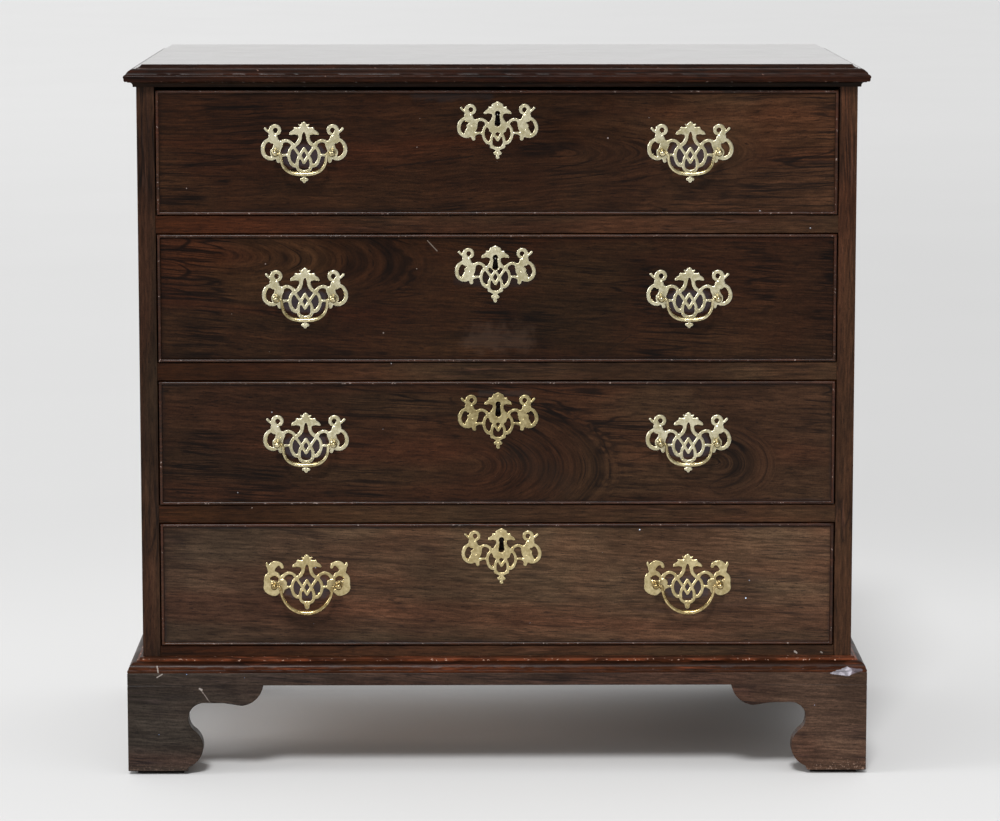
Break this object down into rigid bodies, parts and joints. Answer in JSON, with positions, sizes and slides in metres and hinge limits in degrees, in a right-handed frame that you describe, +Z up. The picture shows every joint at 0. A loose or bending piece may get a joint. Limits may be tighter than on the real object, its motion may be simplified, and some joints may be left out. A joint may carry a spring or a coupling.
{
  "type": "bachelor's chest",
  "caption": "Bachelor's chest with graduated cockbeaded drawers that slide and lock, pierced willow brasses with swinging bails, moulded top and base, bracket feet.",
  "frame": {"origin": "on the floor under the middle of the whole chest", "axes": "+X to the right along the drawer fronts, +Y to the back, +Z up; the drawers open towards -Y"},
  "size_m": [0.921, 0.514, 0.8844],
  "materials": {
    "mahogany": "dark red-brown mahogany, french polished and waxed",
    "oak": "dry unpolished oak of the drawer linings",
    "pine": "dry stained softwood",
    "brass": "cast brass, old lacquer, pale and slightly worn",
    "iron": "dark iron",
    "pad": "black pad"
  },
  "bodies": {
    "carcass": {"top_board": "mahogany", "top_moulding": "mahogany", "side_left": "mahogany", "side_right": "mahogany", "drawer_rails": "mahogany", "dustboards": "pine", "drawer_runners": "oak", "drawer_stops": "oak", "bottom_board": "pine", "back_boards": "pine", "base_moulding": "mahogany", "plinth_frame": "mahogany", "front_feet": "mahogany", "back_feet": "mahogany", "foot_blocks": "pine", "foot_pads": "pad"},
    "drawer_1": {"drawer_front_1": "mahogany", "drawer_linings_1": "oak", "drawer_bottom_1": "oak", "cockbeads_1": "mahogany", "lock_1": "iron", "handle_plates_1": "brass", "handle_posts_1": "brass", "escutcheon_1": "brass"},
    "lock_bolt_1": {"lock_bolt_1": "iron"},
    "bail_1_left": {"bail_1_left": "brass"},
    "bail_1_right": {"bail_1_right": "brass"},
    "drawer_2": {"drawer_front_2": "mahogany", "drawer_linings_2": "oak", "drawer_bottom_2": "oak", "cockbeads_2": "mahogany", "lock_2": "iron", "handle_plates_2": "brass", "handle_posts_2": "brass", "escutcheon_2": "brass"},
    "lock_bolt_2": {"lock_bolt_2": "iron"},
    "bail_2_left": {"bail_2_left": "brass"},
    "bail_2_right": {"bail_2_right": "brass"},
    "drawer_3": {"drawer_front_3": "mahogany", "drawer_linings_3": "oak", "drawer_bottom_3": "oak", "cockbeads_3": "mahogany", "lock_3": "iron", "handle_plates_3": "brass", "handle_posts_3": "brass", "escutcheon_3": "brass"},
    "lock_bolt_3": {"lock_bolt_3": "iron"},
    "bail_3_left": {"bail_3_left": "brass"},
    "bail_3_right": {"bail_3_right": "brass"},
    "drawer_4": {"drawer_front_4": "mahogany", "drawer_linings_4": "oak", "drawer_bottom_4": "oak", "cockbeads_4": "mahogany", "lock_4": "iron", "handle_plates_4": "brass", "handle_posts_4": "brass", "escutcheon_4": "brass"},
    "lock_bolt_4": {"lock_bolt_4": "iron"},
    "bail_4_left": {"bail_4_left": "brass"},
    "bail_4_right": {"bail_4_right": "brass"}
  },
  "joints": [
    {"name": "drawer_1_slide", "type": "slide", "parent": "carcass", "child": "drawer_1", "axis": [0, -1, 0], "range_m": [0, 0.36]},
    {"name": "lock_bolt_1_throw", "type": "slide", "parent": "drawer_1", "child": "lock_bolt_1", "axis": [0, 0, 1], "range_m": [0, 0.009]},
    {"name": "bail_1_left_swing", "type": "hinge", "parent": "drawer_1", "child": "bail_1_left", "pos_m": [-0.237, -0.2525, 0.77645], "axis": [-1, 0, 0], "range_deg": [-20, 200]},
    {"name": "bail_1_right_swing", "type": "hinge", "parent": "drawer_1", "child": "bail_1_right", "pos_m": [0.237, -0.2525, 0.77645], "axis": [-1, 0, 0], "range_deg": [-20, 200]},
    {"name": "drawer_2_slide", "type": "slide", "parent": "carcass", "child": "drawer_2", "axis": [0, -1, 0], "range_m": [0, 0.36]},
    {"name": "lock_bolt_2_throw", "type": "slide", "parent": "drawer_2", "child": "lock_bolt_2", "axis": [0, 0, 1], "range_m": [0, 0.009]},
    {"name": "bail_2_left_swing", "type": "hinge", "parent": "drawer_2", "child": "bail_2_left", "pos_m": [-0.237, -0.2525, 0.59645], "axis": [-1, 0, 0], "range_deg": [-20, 200]},
    {"name": "bail_2_right_swing", "type": "hinge", "parent": "drawer_2", "child": "bail_2_right", "pos_m": [0.237, -0.2525, 0.59645], "axis": [-1, 0, 0], "range_deg": [-20, 200]},
    {"name": "drawer_3_slide", "type": "slide", "parent": "carcass", "child": "drawer_3", "axis": [0, -1, 0], "range_m": [0, 0.36]},
    {"name": "lock_bolt_3_throw", "type": "slide", "parent": "drawer_3", "child": "lock_bolt_3", "axis": [0, 0, 1], "range_m": [0, 0.009]},
    {"name": "bail_3_left_swing", "type": "hinge", "parent": "drawer_3", "child": "bail_3_left", "pos_m": [-0.237, -0.2525, 0.4159], "axis": [-1, 0, 0], "range_deg": [-20, 200]},
    {"name": "bail_3_right_swing", "type": "hinge", "parent": "drawer_3", "child": "bail_3_right", "pos_m": [0.237, -0.2525, 0.4159], "axis": [-1, 0, 0], "range_deg": [-20, 200]},
    {"name": "drawer_4_slide", "type": "slide", "parent": "carcass", "child": "drawer_4", "axis": [0, -1, 0], "range_m": [0, 0.36]},
    {"name": "lock_bolt_4_throw", "type": "slide", "parent": "drawer_4", "child": "lock_bolt_4", "axis": [0, 0, 1], "range_m": [0, 0.009]},
    {"name": "bail_4_left_swing", "type": "hinge", "parent": "drawer_4", "child": "bail_4_left", "pos_m": [-0.237, -0.2525, 0.2377], "axis": [-1, 0, 0], "range_deg": [-15, 194]},
    {"name": "bail_4_right_swing", "type": "hinge", "parent": "drawer_4", "child": "bail_4_right", "pos_m": [0.237, -0.2525, 0.2377], "axis": [-1, 0, 0], "range_deg": [-15, 194]}
  ]
}
